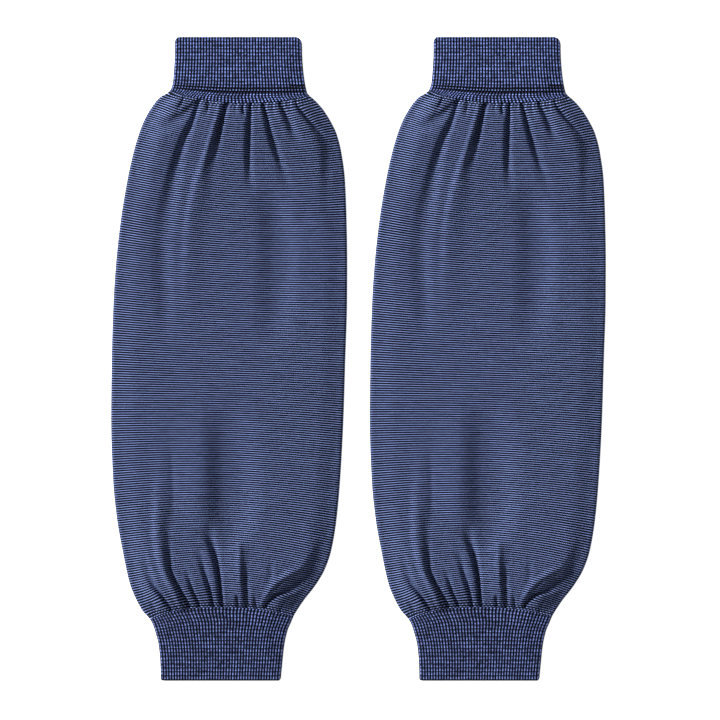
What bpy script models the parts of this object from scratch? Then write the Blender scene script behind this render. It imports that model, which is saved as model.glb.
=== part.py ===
"""A pair of knitted compression sleeves, laid flat side by side on a surface.

Each sleeve is a flattened tube of three pieces: a ribbed upper cuff, a plain body that is
gathered into both cuffs, and a ribbed lower cuff. A piece is one closed wall, lofted through
rings that follow the sleeve's outline. Sizes are millimetres from the sleeve's own middle:
x across, y along with the upper cuff at +y, and z up from the surface.
"""

import math
from collections import namedtuple

import bmesh
import bpy

MM = 0.001

# The pair
SLEEVE_LENGTH = 400.0
SLEEVE_SPACING = 160.7
SEAM_GAP = 0.35

# The wall of the flattened tubes, and the gap between their two panels
WALL = 1.8
PANEL_GAP = 0.4

# The front panel stands up: a soft crown all over, and a puff next to each cuff
CROWN = 0.9
PUFF = 2.7
PUFF_REACH = 15.0
SIDE_BLEND = 10.0
INNER_SHARE = 0.75
LOWEST_RISE = -0.3

# Each fold deepens within this distance of its root, and then fades towards its tip
FOLD_START = 4.0
FOLD_FADE = 1.2

# Ribs on the cuffs' front
RIB_COUNT = 44
RIB_HEIGHT = 0.55

# How finely the pieces are divided
BODY_COLUMNS = 44
BODY_ROWS_FROM_SEAM = (0.0, 1.8, 4.0, 7.0, 10.5, 14.5, 19.0, 25.0, 33.0, 44.0, 60.0, 82.0, 115.0)
CUFF_ROWS = (0.0, 0.05, 0.4, 0.72, 0.88, 1.0)
CUFF_INNER_ROWS = (0.0, 0.4, 0.8, 1.0)
CUFF_INNER_COLUMNS = 22
UNDERSIDE_COLUMNS = 6
FOLD_STEPS = 4
CUFF_INNER_FOLD_STEPS = 2

# The outline from above: the left and right edges at heights along the sleeve, from the top down
Section = namedtuple("Section", "y left right")
SECTIONS = (
    Section(200.0, -33.8, 45.3),
    Section(190.0, -33.8, 45.4),
    Section(180.0, -34.3, 46.0),
    Section(172.0, -35.0, 47.0),
    Section(167.5, -36.3, 47.9),
    Section(165.0, -38.9, 48.6),
    Section(163.0, -42.5, 50.6),
    Section(160.5, -45.1, 53.5),
    Section(155.0, -49.1, 58.4),
    Section(148.0, -53.0, 62.9),
    Section(140.0, -56.1, 66.8),
    Section(129.0, -59.4, 69.7),
    Section(111.0, -63.4, 72.1),
    Section(86.0, -67.5, 73.1),
    Section(61.0, -70.3, 73.5),
    Section(36.0, -72.0, 73.4),
    Section(0.0, -73.1, 72.3),
    Section(-38.0, -73.5, 71.1),
    Section(-75.0, -72.3, 69.1),
    Section(-100.0, -69.8, 66.8),
    Section(-119.0, -66.4, 63.6),
    Section(-131.0, -64.0, 59.5),
    Section(-141.0, -61.5, 53.6),
    Section(-150.0, -57.7, 46.6),
    Section(-157.0, -53.7, 41.9),
    Section(-160.5, -50.5, 39.9),
    Section(-164.0, -48.0, 38.4),
    Section(-169.0, -46.2, 36.3),
    Section(-178.0, -43.9, 34.3),
    Section(-190.0, -42.8, 33.0),
    Section(-200.0, -42.6, 32.2),
)

# The seam lines: the height in the middle and at each end, and how late each side bends away
Seam = namedtuple("Seam", "middle left_end right_end left_power right_power")
UPPER_SEAM = Seam(158.7, 167.0, 164.0, 1.5, 2.5)
LOWER_SEAM = Seam(-154.4, -162.5, -160.5, 2.2, 2.2)

# The rims: the radii of their corners as seen from above
Rim = namedtuple("Rim", "y towards_seam left_corner right_corner")
UPPER_RIM = Rim(SLEEVE_LENGTH / 2, -1, 3.0, 4.4)
LOWER_RIM = Rim(-SLEEVE_LENGTH / 2, 1, 0.8, 1.6)

# Folds of the front panel. A fold runs from its root at a cuff, through its bend halfway along, to
# its tip. A positive height is a ridge and a negative one a trough. Widths are half widths.
Fold = namedtuple("Fold", "root_x root_y bend_x tip_x tip_y height root_width tip_width")
UPPER_FOLDS = (
    Fold(-22.0, 158.0, -34.0, -48.0, 144.0, -1.3, 3.0, 5.0),
    Fold(-18.9, 161.0, -37.5, -46.5, 83.0, -2.9, 3.3, 6.5),
    Fold(-3.6, 160.0, -10.0, -13.5, 102.0, -3.3, 3.9, 5.5),
    Fold(13.2, 159.0, 12.0, 13.0, 105.0, -3.0, 3.0, 4.5),
    Fold(21.5, 158.5, 25.6, 32.0, 114.0, -2.8, 3.0, 4.5),
    Fold(31.6, 158.5, 35.0, 39.5, 136.0, -1.9, 2.8, 4.0),
    Fold(41.0, 160.0, 50.5, 61.0, 130.0, -1.7, 2.8, 4.0),
    Fold(-7.3, 160.0, -24.0, -32.5, 43.0, 1.0, 2.8, 8.0),
    Fold(-30.0, 160.0, -42.0, -51.5, 142.0, 0.8, 3.0, 5.0),
    Fold(23.0, 135.0, 36.5, 49.5, 49.0, 0.6, 5.0, 9.0),
    Fold(16.0, 105.0, 20.4, 22.2, 0.0, -0.8, 6.0, 9.0),
)
LOWER_FOLDS = (
    Fold(-37.5, -155.5, -48.7, -57.4, -122.0, -2.4, 3.0, 4.5),
    Fold(-25.7, -153.2, -37.5, -38.7, -110.0, -2.9, 3.0, 4.0),
    Fold(-18.2, -153.2, -23.8, -25.7, -125.0, -1.8, 2.7, 3.0),
    Fold(-10.4, -153.8, -14.5, -21.3, -116.0, -2.0, 2.7, 3.5),
    Fold(-4.5, -154.4, -7.3, -13.2, -97.0, -3.3, 3.0, 5.5),
    Fold(10.1, -153.8, 9.8, 11.7, -125.0, -2.8, 2.8, 4.0),
    Fold(22.0, -155.7, 42.8, 57.7, -118.0, -2.6, 3.2, 4.5),
    Fold(-31.3, -153.8, -44.0, -44.0, -94.0, 1.1, 2.8, 5.0),
    Fold(4.2, -150.0, 5.4, 8.6, -112.0, 1.0, 2.6, 3.5),
    Fold(19.1, -150.0, 26.6, 39.7, -133.0, 1.1, 3.0, 4.5),
    Fold(-9.5, -100.0, -9.5, -10.7, -32.0, -0.8, 6.0, 8.0),
)

# A place round a flattened tube. turn runs from 0 to 1 round it, across from -1 to 1 between the
# side folds, and tilt is 1 on the front, -1 on the underside and between them round a side fold.
Place = namedtuple("Place", "turn across tilt ridge")

# A piece: its two end lines and how its front rises
Tube = namedtuple("Tube", "start_line end_line rise rib_height")


def slope_at_row(rows, index, column):
    """The slope of a column at one row of a table, limited so that the curve never passes a row."""
    if index in (0, len(rows) - 1):
        return 0.0
    before, here, after = rows[index - 1], rows[index], rows[index + 1]
    step_in = (getattr(here, column) - getattr(before, column)) / (here.y - before.y)
    step_out = (getattr(after, column) - getattr(here, column)) / (after.y - here.y)
    if step_in * step_out <= 0:
        return 0.0
    return 2 * step_in * step_out / (step_in + step_out)


def value_and_slope(rows, y, column):
    """A column's smooth value and slope at height y, through all rows of a table from the top down."""
    y = min(max(y, rows[-1].y), rows[0].y)
    index = 0
    while index < len(rows) - 2 and y < rows[index + 1].y:
        index += 1
    upper, lower = rows[index], rows[index + 1]
    reach = lower.y - upper.y
    part = (y - upper.y) / reach
    start, end = getattr(upper, column), getattr(lower, column)
    start_slope = slope_at_row(rows, index, column) * reach
    end_slope = slope_at_row(rows, index + 1, column) * reach
    cubed = 2 * (start - end) + start_slope + end_slope
    squared = 3 * (end - start) - 2 * start_slope - end_slope
    value = start + part * (start_slope + part * (squared + part * cubed))
    slope = (start_slope + part * (2 * squared + part * 3 * cubed)) / reach
    return value, slope


def outline_at(y):
    """The left and right edges at height y, and the length of each edge for each unit of height."""
    left, left_slope = value_and_slope(SECTIONS, y, "left")
    right, right_slope = value_and_slope(SECTIONS, y, "right")
    return left, right, math.hypot(1, left_slope), math.hypot(1, right_slope)


def ease(part):
    """0 up to a part of 0, 1 from a part of 1, and smooth between them."""
    part = min(max(part, 0.0), 1.0)
    return part * part * (3 - 2 * part)


def seam_y(seam, across):
    """A seam's height at a place across the sleeve, from -1 at its left edge to 1 at its right."""
    if across < 0:
        return seam.middle + (seam.left_end - seam.middle) * (-across) ** seam.left_power
    return seam.middle + (seam.right_end - seam.middle) * across**seam.right_power


def rim_y(rim, across):
    """A rim's height at a place across the sleeve: straight, with rounded corners."""
    left, right, _, _ = outline_at(rim.y)
    from_edge = (1 - abs(across)) * (right - left) / 2
    corner = rim.left_corner if across < 0 else rim.right_corner
    if from_edge >= corner:
        return rim.y
    drop = corner - math.sqrt(corner**2 - (corner - from_edge) ** 2)
    return rim.y + rim.towards_seam * drop


def fold_lift(fold, x, y):
    """How far one fold lifts or lowers the front panel at a point."""
    length = fold.tip_y - fold.root_y
    part = (y - fold.root_y) / length
    if not 0 < part < 1:
        return 0.0
    swerve = 4 * fold.bend_x - 2 * (fold.root_x + fold.tip_x)
    line_x = fold.root_x + (fold.tip_x - fold.root_x) * part + swerve * part * (1 - part)
    lean = (fold.tip_x - fold.root_x + swerve * (1 - 2 * part)) / length
    width = fold.root_width + (fold.tip_width - fold.root_width) * part
    aside = abs(x - line_x) / math.hypot(1, lean) / width
    if aside >= 1:
        return 0.0
    strength = ease(part * abs(length) / FOLD_START) * (1 - part) ** FOLD_FADE
    return fold.height * strength * (0.5 + 0.5 * math.cos(math.pi * aside))


def puff_at(distance):
    """How far the cloth stands up at a distance from a seam: most at PUFF_REACH."""
    part = max(distance, 0.0) / PUFF_REACH
    return PUFF * part * math.exp(1 - part)


def flat_part(x, y):
    """0 at the side folds of a flattened tube, and 1 from SIDE_BLEND inside them."""
    left, right, left_lean, right_lean = outline_at(y)
    radius = WALL + PANEL_GAP / 2
    from_left = x - left - radius * left_lean
    from_right = right - x - radius * right_lean
    return ease(min(from_left, from_right) / SIDE_BLEND)


def body_rise(x, y, across, _part):
    """How far the front panel of the body stands above its flat height."""
    puffs = puff_at(seam_y(UPPER_SEAM, across) - y) + puff_at(y - seam_y(LOWER_SEAM, across))
    folds = sum(fold_lift(fold, x, y) for fold in UPPER_FOLDS + LOWER_FOLDS)
    return flat_part(x, y) * max(CROWN + puffs + folds, LOWEST_RISE)


def cuff_rise(x, y, _across, part):
    """How far the front of a cuff stands above its flat height: nothing at the rim, CROWN at the seam."""
    return flat_part(x, y) * CROWN * ease(part)


def places_round(front_columns, fold_steps, ribbed):
    """The places round a flattened tube: over the front, round the right fold, under and back up."""
    places = []
    for column in range(front_columns + 1):
        part = column / front_columns
        places.append(Place(0.4 * part, 2 * part - 1, 1.0, ribbed and column % 2 == 1))
    for step in range(1, fold_steps):
        part = step / fold_steps
        places.append(Place(0.4 + 0.1 * part, 1.0, math.cos(math.pi * part), False))
    for column in range(UNDERSIDE_COLUMNS + 1):
        part = column / UNDERSIDE_COLUMNS
        places.append(Place(0.5 + 0.4 * part, 1 - 2 * part, -1.0, False))
    for step in range(1, fold_steps):
        part = step / fold_steps
        places.append(Place(0.9 + 0.1 * part, -1.0, -math.cos(math.pi * part), False))
    return places


def edge_share(tube, part, side, size):
    """A size measured in from one side edge, as a share of the half width there."""
    y = tube.start_line(side) * (1 - part) + tube.end_line(side) * part
    left, right, left_lean, right_lean = outline_at(y)
    lean = left_lean if side < 0 else right_lean
    return size * lean / ((right - left) / 2)


def point_on(tube, part, place, inset):
    """The point of a tube's wall at a part of its length and a place round it.

    inset is 0 for the outer face and the wall's thickness for the inner face."""
    radius = WALL + PANEL_GAP / 2 - inset
    left_share = edge_share(tube, part, -1, inset + radius)
    right_share = edge_share(tube, part, 1, inset + radius)
    across = place.across * (1 - (left_share + right_share) / 2) + (left_share - right_share) / 2
    if abs(place.across) == 1 and abs(place.tilt) < 1:
        bulge = edge_share(tube, part, place.across, radius) * math.sqrt(1 - place.tilt**2)
        across += place.across * bulge
    y = tube.start_line(across) * (1 - part) + tube.end_line(across) * part
    left, right, _, _ = outline_at(y)
    x = (left + right) / 2 + across * (right - left) / 2
    z = WALL + PANEL_GAP / 2 + radius * place.tilt
    if place.tilt == 1:
        rise = tube.rise(x, y, across, part)
        z += rise * (INNER_SHARE if inset else 1)
    if place.ridge:
        z += tube.rib_height
    return (x * MM, y * MM, z * MM)


def add_rings(mesh, tube, parts, places, inset):
    """Rings of one face of the wall, from the tube's start to its end, joined by faces."""
    rings = [[mesh.verts.new(point_on(tube, part, place, inset)) for place in places] for part in parts]
    for ring, following in zip(rings, rings[1:]):
        for index in range(len(places)):
            beside = (index + 1) % len(places)
            mesh.faces.new((ring[index], ring[beside], following[beside], following[index]))
    return rings


def close_end(mesh, outer_ring, outer_places, inner_ring, inner_places):
    """The end of the wall, between rings that may hold unlike numbers of points.

    Each point of the outer ring meets the inner ring's point nearest to it round the tube."""
    outer_turns = [place.turn for place in outer_places] + [1.0]
    inner_turns = [place.turn for place in inner_places] + [1.0]
    outer_ring = outer_ring + outer_ring[:1]
    inner_ring = inner_ring + inner_ring[:1]
    inner = 0
    for outer in range(len(outer_places)):
        mesh.faces.new((outer_ring[outer], outer_ring[outer + 1], inner_ring[inner]))
        last = outer + 1 == len(outer_places)
        while inner < len(inner_places):
            halfway = (inner_turns[inner] + inner_turns[inner + 1]) / 2
            if outer_turns[outer + 1] < halfway and not last:
                break
            mesh.faces.new((outer_ring[outer + 1], inner_ring[inner + 1], inner_ring[inner]))
            inner += 1


def tube_mesh(name, tube, outer, inner):
    """The closed wall of a flattened tube. outer and inner each hold the parts along it and places round it."""
    mesh = bmesh.new()
    outer_rings = add_rings(mesh, tube, outer[0], outer[1], 0.0)
    inner_rings = add_rings(mesh, tube, inner[0], inner[1], WALL)
    for end in (0, -1):
        close_end(mesh, outer_rings[end], outer[1], inner_rings[end], inner[1])
    bmesh.ops.recalc_face_normals(mesh, faces=mesh.faces)
    data = bpy.data.meshes.new(name)
    mesh.to_mesh(data)
    mesh.free()
    data.shade_smooth()
    data.set_sharp_from_angle(angle=math.radians(40))
    return data


def body_mesh():
    """The gathered body, between the two seams."""

    def start_line(across):
        return seam_y(UPPER_SEAM, across) - SEAM_GAP / 2

    def end_line(across):
        return seam_y(LOWER_SEAM, across) + SEAM_GAP / 2

    length = start_line(0) - end_line(0)
    parts = [distance / length for distance in BODY_ROWS_FROM_SEAM]
    parts = parts + [0.5] + [1 - part for part in reversed(parts)]
    places = places_round(BODY_COLUMNS, FOLD_STEPS, False)
    tube = Tube(start_line, end_line, body_rise, 0.0)
    return tube_mesh("body", tube, (parts, places), (parts[::2], places))


def cuff_mesh(name, rim, seam):
    """A ribbed cuff, from its rim to its seam."""

    def start_line(across):
        return rim_y(rim, across)

    def end_line(across):
        return seam_y(seam, across) - rim.towards_seam * SEAM_GAP / 2

    tube = Tube(start_line, end_line, cuff_rise, RIB_HEIGHT)
    outer_places = places_round(2 * RIB_COUNT, FOLD_STEPS, True)
    inner_places = places_round(CUFF_INNER_COLUMNS, CUFF_INNER_FOLD_STEPS, False)
    return tube_mesh(name, tube, (CUFF_ROWS, outer_places), (CUFF_INNER_ROWS, inner_places))


def cloth_material(name, color, roughness):
    """A matt cloth material."""
    material = bpy.data.materials.new(name)
    material.use_nodes = True
    shader = material.node_tree.nodes["Principled BSDF"]
    shader.inputs["Base Color"].default_value = (*color, 1.0)
    shader.inputs["Roughness"].default_value = roughness
    shader.inputs["Metallic"].default_value = 0.0
    return material


def clear_scene():
    for item in list(bpy.data.objects):
        bpy.data.objects.remove(item, do_unlink=True)


def place_sleeve(side, offset_x, meshes, collection):
    """One sleeve: its pieces, parented to an empty at the sleeve's own middle."""
    middle = bpy.data.objects.new(side + "_sleeve", None)
    middle.location = (offset_x * MM, 0, 0)
    collection.objects.link(middle)
    for name, data in meshes.items():
        piece = bpy.data.objects.new(f"{side}_{name}", data)
        piece.parent = middle
        collection.objects.link(piece)


def main():
    clear_scene()
    collection = bpy.data.collections.new("compression_sleeves")
    bpy.context.scene.collection.children.link(collection)
    meshes = {
        "upper_cuff": cuff_mesh("upper_cuff", UPPER_RIM, UPPER_SEAM),
        "body": body_mesh(),
        "lower_cuff": cuff_mesh("lower_cuff", LOWER_RIM, LOWER_SEAM),
    }
    rib_knit = cloth_material("blue_rib_knit", (0.052, 0.068, 0.14), 0.85)
    plain_knit = cloth_material("blue_and_black_plain_knit", (0.058, 0.076, 0.155), 0.85)
    meshes["upper_cuff"].materials.append(rib_knit)
    meshes["body"].materials.append(plain_knit)
    meshes["lower_cuff"].materials.append(rib_knit)
    place_sleeve("left", -SLEEVE_SPACING / 2, meshes, collection)
    place_sleeve("right", SLEEVE_SPACING / 2, meshes, collection)


if __name__ == "__main__":
    main()
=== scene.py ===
"""A pair of knitted compression sleeves, laid flat side by side on a pale floor.

Each sleeve is one knitted tube: a ribbed upper cuff, a striped body that is gathered into both cuffs,
and a ribbed lower cuff. Each piece is a closed wall of cloth, wrapped from one grid whose rows are the
rows of knitting and whose columns run along the sleeve.

The tables hold millimetres from the sleeve's own middle: x across, y along with the upper cuff at +y,
and z up from the floor. The panels' settings hold metres.
"""

import math
from collections import namedtuple

import bmesh
import bpy
import numpy as np
from bpy.props import FloatProperty, FloatVectorProperty, PointerProperty
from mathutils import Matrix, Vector


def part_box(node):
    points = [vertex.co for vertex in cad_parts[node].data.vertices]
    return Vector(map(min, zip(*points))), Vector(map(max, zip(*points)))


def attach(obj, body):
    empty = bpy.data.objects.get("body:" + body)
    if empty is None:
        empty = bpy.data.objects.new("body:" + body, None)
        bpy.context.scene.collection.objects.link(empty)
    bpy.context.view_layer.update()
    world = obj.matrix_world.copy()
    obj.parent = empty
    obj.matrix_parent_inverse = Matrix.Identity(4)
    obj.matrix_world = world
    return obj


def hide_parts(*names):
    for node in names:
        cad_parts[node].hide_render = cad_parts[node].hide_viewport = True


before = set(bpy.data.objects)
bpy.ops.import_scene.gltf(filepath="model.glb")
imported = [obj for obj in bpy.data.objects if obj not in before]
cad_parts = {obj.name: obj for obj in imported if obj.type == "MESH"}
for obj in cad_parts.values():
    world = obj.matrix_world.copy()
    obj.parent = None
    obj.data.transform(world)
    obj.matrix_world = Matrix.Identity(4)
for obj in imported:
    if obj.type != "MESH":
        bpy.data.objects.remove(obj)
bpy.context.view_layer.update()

bl_info = {
    "name": "Knitted compression sleeves",
    "version": (1, 0, 0),
    "blender": (4, 5, 0),
    "location": "3D View > Sidebar > Sleeves",
    "description": "A pair of striped knit sleeves, gathered into ribbed cuffs",
    "category": "Object",
}

MM = 0.001

SIDES = ("left", "right")
SLEEVE_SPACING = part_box("right_body")[0][0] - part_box("left_body")[0][0]

# The outline from above: the left and right edges at heights along the sleeve, from the top down
Section = namedtuple("Section", "y left right")
SECTIONS = (
    Section(200.0, -33.8, 45.3),
    Section(190.0, -33.8, 45.4),
    Section(180.0, -34.3, 46.0),
    Section(172.0, -35.0, 47.0),
    Section(167.5, -36.3, 47.9),
    Section(165.0, -38.9, 48.6),
    Section(163.0, -42.5, 50.6),
    Section(160.5, -45.1, 53.5),
    Section(155.0, -49.1, 58.4),
    Section(148.0, -53.0, 62.9),
    Section(140.0, -56.1, 66.8),
    Section(129.0, -59.4, 69.7),
    Section(111.0, -63.4, 72.1),
    Section(86.0, -67.5, 73.1),
    Section(61.0, -70.3, 73.5),
    Section(36.0, -72.0, 73.4),
    Section(0.0, -73.1, 72.3),
    Section(-38.0, -73.5, 71.1),
    Section(-75.0, -72.3, 69.1),
    Section(-100.0, -69.8, 66.8),
    Section(-119.0, -66.4, 63.6),
    Section(-131.0, -64.0, 59.5),
    Section(-141.0, -61.5, 53.6),
    Section(-150.0, -57.7, 46.6),
    Section(-157.0, -53.7, 41.9),
    Section(-160.5, -50.5, 39.9),
    Section(-164.0, -48.0, 38.4),
    Section(-169.0, -46.2, 36.3),
    Section(-178.0, -43.9, 34.3),
    Section(-190.0, -42.8, 33.0),
    Section(-200.0, -42.6, 32.2),
)

# How the courses run: each one tilts up to the left, rises at its left and right ends above its middle,
# and bends away early or late. The first and last rows are the seams to the cuffs.
Course = namedtuple("Course", "y tilt left_rise right_rise left_power right_power")
COURSES = (
    Course(158.7, 0.0, 8.3, 5.3, 1.5, 2.5),
    Course(150.0, 0.5, 9.0, 5.6, 1.5, 2.4),
    Course(138.0, 1.6, 9.0, 5.4, 1.4, 2.3),
    Course(127.0, 2.6, 8.6, 5.2, 1.3, 2.2),
    Course(116.0, 3.2, 7.7, 5.3, 1.3, 2.2),
    Course(103.0, 4.0, 6.5, 5.4, 1.5, 2.1),
    Course(88.0, 4.0, 6.2, 3.8, 1.7, 2.0),
    Course(60.0, 4.0, 3.6, 2.9, 2.0, 2.0),
    Course(30.0, 3.5, 2.4, 1.4, 2.0, 2.0),
    Course(2.0, 2.5, 1.2, -0.7, 2.0, 2.0),
    Course(-27.0, 2.0, -1.0, -2.4, 2.0, 1.9),
    Course(-56.0, 2.0, -3.2, -3.9, 2.0, 1.8),
    Course(-84.0, 2.0, -5.2, -5.2, 1.9, 1.8),
    Course(-100.0, 1.5, -5.7, -7.5, 1.8, 1.7),
    Course(-115.0, 1.5, -6.5, -9.0, 1.7, 1.7),
    Course(-130.0, 1.0, -6.8, -8.8, 1.7, 1.8),
    Course(-140.0, 0.5, -7.2, -8.0, 1.8, 1.9),
    Course(-154.4, 0.0, -8.1, -6.1, 2.2, 2.2),
)
UPPER_SEAM = COURSES[0]
LOWER_SEAM = COURSES[-1]

# A cuff: its rim's height and corner radii, its seam, and how late its rows bend towards the seam
Cuff = namedtuple("Cuff", "rim left_corner right_corner seam left_bend right_bend stitches")
UPPER_CUFF = Cuff(200.0, 3.0, 4.4, UPPER_SEAM, 5.6, 12.0, 36)
LOWER_CUFF = Cuff(-200.0, 0.8, 1.6, LOWER_SEAM, 3.5, 3.5, 37)

# The gathers. Each fold is a smooth line through its stops, from the top down. A positive height is a
# ridge and a negative one a trough. left and right are its half widths on either side.
Stop = namedtuple("Stop", "x y height left right")
UPPER_FOLDS = {
    "left shoulder ridge": (
        Stop(-31.0, 162.0, 0.8, 3.0, 3.0),
        Stop(-41.0, 155.5, 0.8, 3.8, 3.8),
        Stop(-50.0, 146.5, 0.6, 4.5, 4.5),
        Stop(-54.0, 138.0, 0.0, 4.0, 4.0),
    ),
    "left shoulder trough": (
        Stop(-20.0, 160.5, -1.4, 2.8, 3.0),
        Stop(-26.5, 154.0, -1.9, 4.4, 4.6),
        Stop(-35.5, 148.0, -1.7, 5.8, 5.8),
        Stop(-43.0, 142.0, -0.9, 6.4, 6.4),
        Stop(-50.0, 134.5, 0.0, 6.6, 6.6),
    ),
    "long left trough": (
        Stop(-18.2, 162.5, -2.2, 1.9, 1.9),
        Stop(-21.7, 151.5, -3.8, 2.8, 3.0),
        Stop(-25.2, 143.0, -3.5, 3.4, 3.8),
        Stop(-28.6, 135.0, -3.0, 4.0, 4.8),
        Stop(-33.5, 114.3, -2.6, 6.6, 6.0),
        Stop(-38.5, 91.3, -2.1, 8.2, 8.0),
        Stop(-42.0, 58.0, 0.0, 8.5, 8.5),
    ),
    "soft hollow below it": (
        Stop(-41.5, 80.0, 0.0, 6.5, 6.0),
        Stop(-41.0, 62.0, -1.7, 9.0, 7.0),
        Stop(-39.5, 36.0, -1.4, 9.0, 7.0),
        Stop(-38.5, 8.0, 0.0, 7.0, 6.0),
    ),
    "faint crease beside it": (
        Stop(-25.0, 135.5, 0.0, 1.5, 1.5),
        Stop(-29.5, 122.0, 0.5, 1.5, 1.5),
        Stop(-35.6, 101.0, 0.0, 1.5, 1.5),
    ),
    "long ridge": (
        Stop(-5.8, 160.0, 0.8, 2.6, 1.7),
        Stop(-9.2, 142.3, 2.5, 2.8, 3.0),
        Stop(-13.1, 129.8, 2.6, 2.9, 8.0),
        Stop(-20.9, 105.0, 2.1, 3.2, 12.0),
        Stop(-25.4, 80.0, 1.4, 3.8, 13.0),
        Stop(-26.4, 49.0, 0.8, 4.5, 13.0),
        Stop(-26.8, 18.0, 0.0, 5.0, 13.0),
    ),
    "deep trough": (
        Stop(-0.9, 161.5, -3.0, 1.7, 1.7),
        Stop(-4.4, 150.0, -5.8, 3.1, 3.1),
        Stop(-7.6, 138.5, -5.6, 3.6, 4.0),
        Stop(-10.4, 127.5, -3.2, 4.0, 5.2),
        Stop(-12.4, 117.4, -1.1, 4.8, 6.4),
        Stop(-13.5, 102.0, 0.0, 5.5, 7.0),
    ),
    "short wrinkle before it": (
        Stop(-12.6, 161.5, -1.6, 1.3, 1.3),
        Stop(-13.2, 156.0, -2.0, 1.4, 1.4),
        Stop(-14.5, 149.0, 0.0, 1.4, 1.4),
    ),
    "middle trough": (
        Stop(13.5, 161.5, -2.8, 1.4, 1.4),
        Stop(12.9, 151.6, -4.8, 2.3, 2.0),
        Stop(12.2, 140.4, -5.0, 2.6, 2.7),
        Stop(12.0, 126.7, -3.4, 2.8, 3.4),
        Stop(12.5, 114.3, -1.6, 3.4, 4.6),
        Stop(14.5, 95.0, 0.0, 4.4, 5.5),
    ),
    "fork of the middle trough": (
        Stop(8.6, 161.5, -1.8, 1.2, 1.2),
        Stop(8.6, 154.7, -3.0, 1.4, 1.4),
        Stop(9.5, 147.5, 0.0, 1.4, 1.4),
    ),
    "broad hollow": (
        Stop(22.5, 112.0, 0.0, 11.0, 10.0),
        Stop(28.5, 92.0, -2.9, 14.5, 14.0),
        Stop(31.0, 67.6, -3.4, 16.0, 16.0),
        Stop(29.5, 34.0, -2.5, 16.0, 16.0),
        Stop(27.0, 0.0, 0.0, 15.0, 15.0),
    ),
    "right trough": (
        Stop(20.7, 161.5, -2.8, 1.4, 1.4),
        Stop(22.9, 151.6, -5.0, 2.2, 2.6),
        Stop(25.3, 141.0, -4.8, 2.5, 3.5),
        Stop(29.7, 126.7, -2.8, 2.8, 4.4),
        Stop(34.1, 114.3, -1.1, 3.2, 5.0),
        Stop(39.0, 97.0, 0.0, 4.0, 6.0),
    ),
    "faint crease below it": (
        Stop(24.1, 125.0, 0.0, 1.5, 1.5),
        Stop(28.5, 114.0, 0.5, 1.5, 1.5),
        Stop(35.5, 99.0, 0.0, 1.5, 1.5),
    ),
    "short right trough": (
        Stop(31.3, 161.5, -2.2, 1.7, 1.6),
        Stop(34.8, 153.0, -4.0, 3.2, 3.0),
        Stop(38.2, 145.4, -3.2, 4.0, 4.2),
        Stop(42.5, 131.0, 0.0, 5.0, 5.5),
    ),
    "right shoulder trough": (
        Stop(41.5, 160.5, -1.8, 1.6, 1.6),
        Stop(46.8, 152.0, -4.8, 2.9, 2.8),
        Stop(53.0, 144.3, -4.4, 3.4, 3.4),
        Stop(58.0, 137.5, -2.8, 4.2, 3.8),
        Stop(61.5, 128.6, -1.8, 5.4, 4.6),
        Stop(61.3, 112.0, -1.3, 6.0, 5.0),
        Stop(61.0, 70.0, 0.0, 6.0, 5.0),
    ),
    "wrinkle at the left": (
        Stop(-28.0, 163.0, -1.4, 1.5, 1.5),
        Stop(-30.5, 157.0, -1.0, 1.6, 1.6),
        Stop(-33.0, 152.0, 0.0, 1.6, 1.6),
    ),
    "wrinkle in the middle": (
        Stop(4.2, 161.0, -1.4, 1.3, 1.3),
        Stop(4.1, 156.0, -1.0, 1.4, 1.4),
        Stop(4.0, 150.0, 0.0, 1.4, 1.4),
    ),
    "first wrinkle at the right": (
        Stop(17.2, 161.0, -1.2, 1.2, 1.2),
        Stop(17.4, 156.0, -1.0, 1.3, 1.3),
        Stop(17.8, 150.0, 0.0, 1.3, 1.3),
    ),
    "second wrinkle at the right": (
        Stop(26.6, 161.0, -1.4, 1.3, 1.3),
        Stop(27.2, 156.0, -1.2, 1.4, 1.4),
        Stop(28.2, 149.0, 0.0, 1.4, 1.4),
    ),
    "third wrinkle at the right": (
        Stop(36.2, 161.5, -1.4, 1.3, 1.3),
        Stop(37.4, 156.5, -1.3, 1.4, 1.4),
        Stop(39.2, 149.0, 0.0, 1.4, 1.4),
    ),
}
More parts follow.
